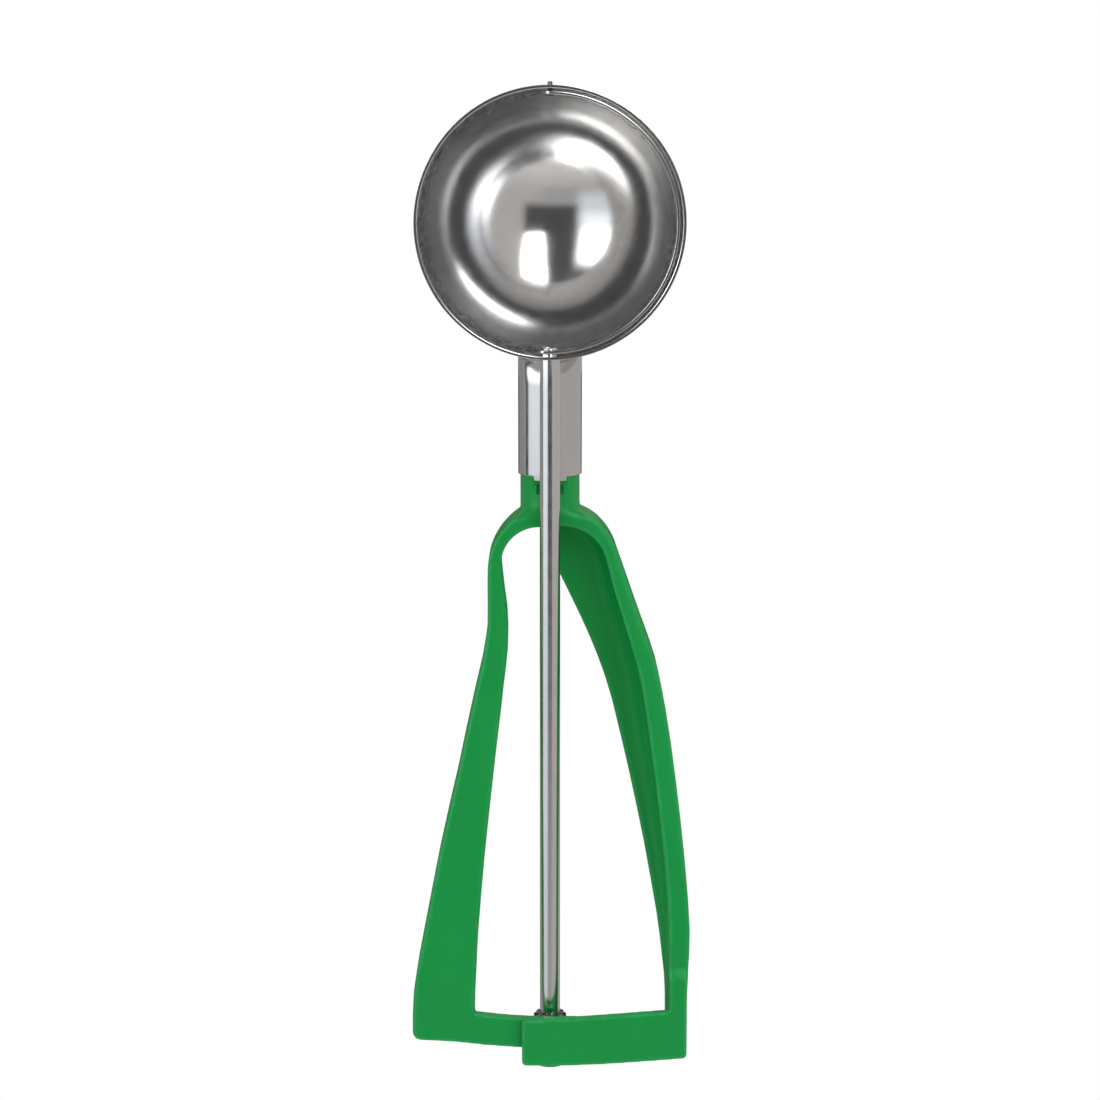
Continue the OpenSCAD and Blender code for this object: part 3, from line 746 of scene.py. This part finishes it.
def settle(place):
    """Small moves of the skin, mm: shoulders, a bend low on the palm arm, and the rack bar's upper edge."""
    x, y, z = place.T
    moved = place.copy()
    for side, low, high, push in SHOULDER_PUSH:
        across, height, radius = SHOULDERS[side]
        dx, dz = side * (x - across), z - height
        reach = np.hypot(dx, dz)
        angle = np.degrees(np.arctan2(dz, dx))
        bump = np.sin(np.pi * np.clip((angle - low) / (high - low), 0, 1)) * (dx > 0) * (z > -1)
        shift = push * bump * np.clip((reach - 0.78 * radius) / (0.22 * radius), 0, 1)
        shift *= np.clip(radius + 1.6 - reach, 0, 1)
        moved[:, 0] += shift * side * dx / reach
        moved[:, 2] += shift * dz / reach
    moved[:, 1] += np.interp(z, ARM_HEIGHTS, ARM_BACK) * np.clip((-4 - y) / 4, 0, 1) * (x > 15)
    bar = np.clip((z + 118.5) / 2, 0, 1) * np.clip((FOOT_TOP - z) / 2, 0, 1) * np.clip((x + 26) / 4, 0, 1)
    moved[:, 2] += BAR_RISE * bar * (x < 9) * (y > -7.3) * (y < -2.5)
    return moved


def skin(meshes, material, keep, melt=None):
    """One skin over closed meshes, with the small radii that a mould leaves on every edge.

    keep scales the smoothing from place to place, and melt says where far more of it follows.
    """
    bm = bmesh.new()
    for mesh in meshes:
        bm.from_mesh(mesh)
    bmesh.ops.recalc_face_normals(bm, faces=bm.faces)
    mesh = bpy.data.meshes.new("skin")
    bm.to_mesh(mesh)
    bm.free()
    obj = new_object("skin", mesh, material)
    remesh = obj.modifiers.new("skin", "REMESH")
    remesh.mode = "VOXEL"
    remesh.voxel_size = VOXEL * MM
    apply_modifiers(obj)
    mesh = obj.data
    count = len(mesh.vertices)
    place = settle(vectors_of(mesh, "co") / MM) * MM
    pairs = np.empty(len(mesh.edges) * 2, dtype=np.int64)
    mesh.edges.foreach_get("vertices", pairs)
    pairs = pairs.reshape(-1, 2)
    degree = np.bincount(pairs.ravel(), minlength=count)[:, None]

    def around(values):
        total = np.zeros_like(values)
        for axis in range(values.shape[1]):
            total[:, axis] = (np.bincount(pairs[:, 0], values[pairs[:, 1], axis], count)
                              + np.bincount(pairs[:, 1], values[pairs[:, 0], axis], count))
        return total / degree

    for where, passes in ((keep, PASSES), (melt, MELT_PASSES)):
        if where:
            weight = 0.5 * where(place / MM)[:, None]
            for _ in range(passes):
                place = place + weight * (around(place) - place)
    mesh.vertices.foreach_set("co", place.ravel())
    mesh.update()
    # mark of convex edges, for paler edges that are partly rubbed wear and partly a painted highlight
    bulge = ((place - around(place)) * vectors_of(mesh, "normal")).sum(1, keepdims=True) / (VOXEL * MM)
    for _ in range(EDGE_SPREAD):
        bulge = 0.5 * (bulge + around(bulge))
    edge = mesh.attributes.new("edge", "FLOAT", "POINT")
    edge.data.foreach_set("value", np.clip(bulge[:, 0] * EDGE_GAIN, 0, 1))
    return obj


def pieces_of(whole, material, cuts, parts):
    """Splits a skin with level cuts on the lever's side of the yoke, and closes and names the parts."""
    for height in cuts:
        bm = bmesh.new()
        bm.from_mesh(whole.data)
        near = [f for f in bm.faces if f.calc_center_median().x < LEVER_SIDE * MM
                and abs(f.calc_center_median().z - height * MM) < MM]
        geom = set(near)
        for face in near:
            geom.update(face.edges)
            geom.update(face.verts)
        bmesh.ops.bisect_plane(bm, geom=list(geom), plane_co=(0, 0, height * MM), plane_no=(0, 0, 1), dist=1e-7)
        bm.to_mesh(whole.data)
        bm.free()
    made = []
    for name, inside in parts:
        bm = bmesh.new()
        bm.from_mesh(whole.data)
        outside = [f for f in bm.faces if not inside(f.calc_center_median() / MM)]
        bmesh.ops.delete(bm, geom=outside, context="FACES")
        border = [e for e in bm.edges if e.is_boundary]
        for e in border:
            e.smooth = False
        for face in bm.faces:
            face.smooth = True
            face.material_index = 0
        caps = bmesh.ops.holes_fill(bm, edges=border)["faces"]
        bmesh.ops.triangulate(bm, faces=caps)
        mesh = bpy.data.meshes.new(name)
        bm.to_mesh(mesh)
        bm.free()
        made.append(new_object(name, mesh, material))
    bpy.data.objects.remove(whole)
    return made


def make_mouldings(material):
    """Frame and lever are one moulding, whose lever swings by the flexing of the left shoulder; the skins of
    the handle and the lever go to their bodies, and the shoulder piece between them is left where it is.
    """
    frame_mesh, lever_mesh = nodes["handle_frame"].data, nodes["thumb_lever"].data
    filler = shoulder_filler()
    upper = sliced(lever_mesh, (0, 0, -12), (0, 0, -1))
    whole = skin([frame_mesh, upper, filler, neck_flare(1, material), neck_flare(-1, material)], material,
                 keep=crisp_weight, melt=neck_weight)
    neck_pocket(whole, material)
    handle, flexure = pieces_of(whole, material, (FLEX_TOP, FLEX_END), (
        ("handle_moulding", lambda p: p.x > LEVER_SIDE or p.z > FLEX_TOP or p.z < -20),
        ("shoulder_flexure", lambda p: p.x < LEVER_SIDE and FLEX_END < p.z < FLEX_TOP)))
    yoke = sliced(frame_mesh, (0, 0, -3), (0, 0, -1))
    whole = skin([lever_mesh, yoke, filler], material, keep=teeth_weight)
    lever, = pieces_of(whole, material, (FLEX_END,), (("lever_moulding", lambda p: p.z < FLEX_END),))
    give(handle, "handle", "handle_nylon", "handle_frame")
    give(lever, "lever", "handle_nylon", "thumb_lever")
    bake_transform(flexure)


def neck_weight(place):
    """Melts the yoke's front into the round neck."""
    x, y, z = place.T
    near = np.clip((z - 9.2) / 1.5, 0, 1) * np.clip((17.5 - z) / 2, 0, 1) * np.clip((9.5 - y) / 2, 0, 1)
    return near * np.clip((9.0 - abs(x)) / 1.5, 0, 1)


def crisp_weight(place):
    """Keeps the corners of the foot, and the edges of the recess under the ferrule's tab."""
    x, y, z = place.T
    near = np.clip((z - 14.3) / 0.8, 0, 1) * np.clip((20.4 - z) / 0.5, 0, 1) * np.clip((7.5 - y), 0, 1)
    recess = 0.8 * near * np.clip(5.5 - abs(x), 0, 1)
    return 1 - np.maximum(recess, 0.45 * np.clip((FOOT_TOP - z) / 2, 0, 1))


def teeth_weight(place):
    """Keeps the rack's teeth crisp, and the corners of the foot."""
    near = np.clip((place[:, 1] - RACK_Y) / 0.6, 0, 1) * np.clip((RACK_TOP - place[:, 2]) / 2, 0, 1)
    near *= np.clip((place[:, 0] + 20) / 3, 0, 1) * np.clip((-3.0 - place[:, 1]) / 0.8, 0, 1)
    return 1 - np.maximum(0.85 * near, 0.45 * np.clip((FOOT_TOP - place[:, 2]) / 2, 0, 1))


# ---------------------------------------------------------------- build
add_camera()
add_world()
add_lamp("key", (0.9, -1.3, 0.9), (0, 0, 0), 1.0, 5, (1.0, 0.99, 0.98))
add_lamp("fill", (-1.3, -1.0, 0.3), (0, 0, 0), 1.0, 2)
add_lamp("back", (0.4, 1.4, 0.9), (0, 0, 0), 1.0, 4)
add_floor()

steel_bowl = spun_steel()
steel_tube = drawn_steel("tube_steel", (0.57, 0.563, 0.556), 0.12, 0.22, 1.0)
steel_rod = drawn_steel("rod_steel", (0.62, 0.615, 0.61), 0.15, 0.23, 0.8)
steel_pin = drawn_steel("pin_steel", (0.09, 0.088, 0.085), 0.2, 0.3, 0.5)
steel_weld = weld_steel()
nylon = green_nylon()
acetal = black_acetal()

make_bowl(steel_bowl)
make_ferrule(steel_tube)
make_weld(steel_weld)
make_shaft(steel_rod)
make_hoop(steel_bowl)
make_pin(steel_pin)
make_mouldings(nylon)

for slot in nodes["pinion"].material_slots:
    slot.material = acetal
soften(nodes["pinion"], 0.2)

scene = bpy.context.scene
scene.view_settings.view_transform = "Standard"
scene.cycles.max_bounces = 16
scene.cycles.glossy_bounces = 12
